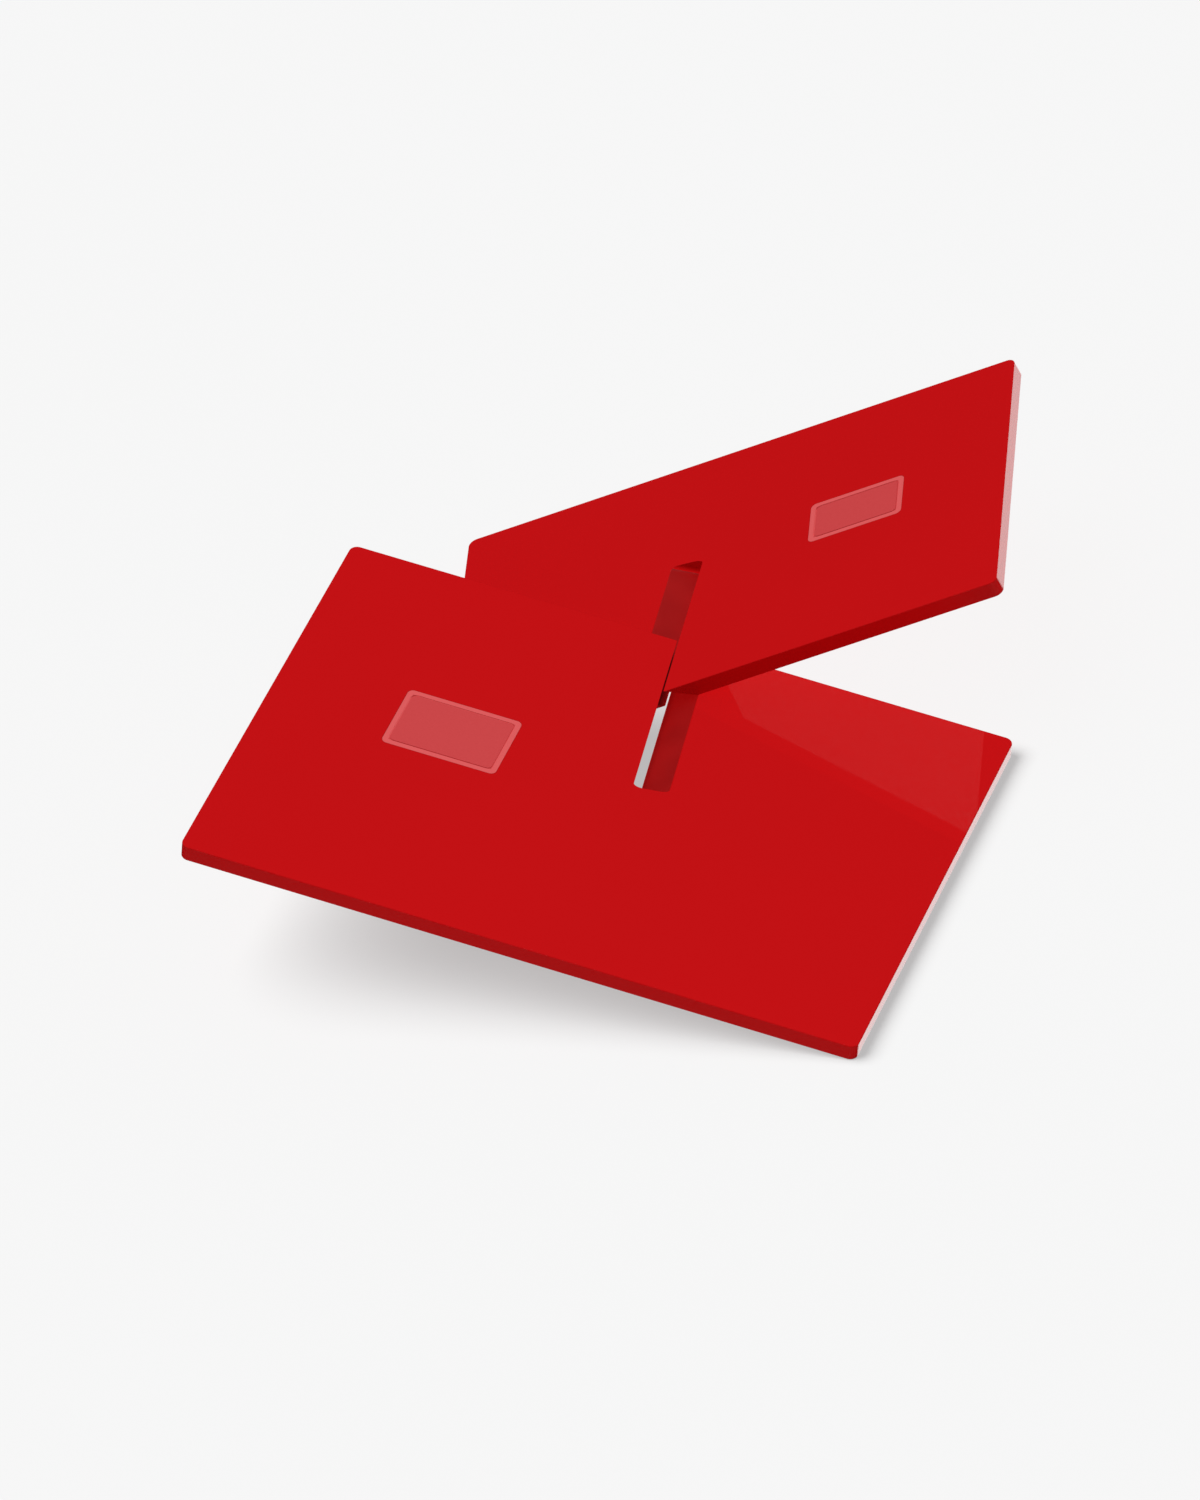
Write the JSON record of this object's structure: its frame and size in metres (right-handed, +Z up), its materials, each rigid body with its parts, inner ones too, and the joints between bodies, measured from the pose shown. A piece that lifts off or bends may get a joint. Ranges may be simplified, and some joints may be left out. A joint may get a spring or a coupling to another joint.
{
  "type": "slot-together panel stand",
  "caption": "Small display stand of flat glossy panels that cross in a shallow X and slide into each other along slanted slots.",
  "frame": {"origin": "middle of the whole stand's footprint, on the floor that it stands on", "axes": "+Z up; +X along the main panel towards its end that rests on the floor; +Y across the main panel towards the edge that its slot opens at"},
  "size_m": [0.2358, 0.2898, 0.069],
  "materials": {
    "panel": "polished cast sheet",
    "badge": "satin"
  },
  "bodies": {
    "main": {"main_panel": "panel", "main_badge": "badge"},
    "cross": {"cross_panel": "panel", "cross_badge": "badge"}
  },
  "joints": [
    {"name": "panel_slide", "type": "slide", "parent": "main", "child": "cross", "axis": [0.1407, -0.9895, -0.0323], "range_m": [-0.024, 0.115]}
  ]
}
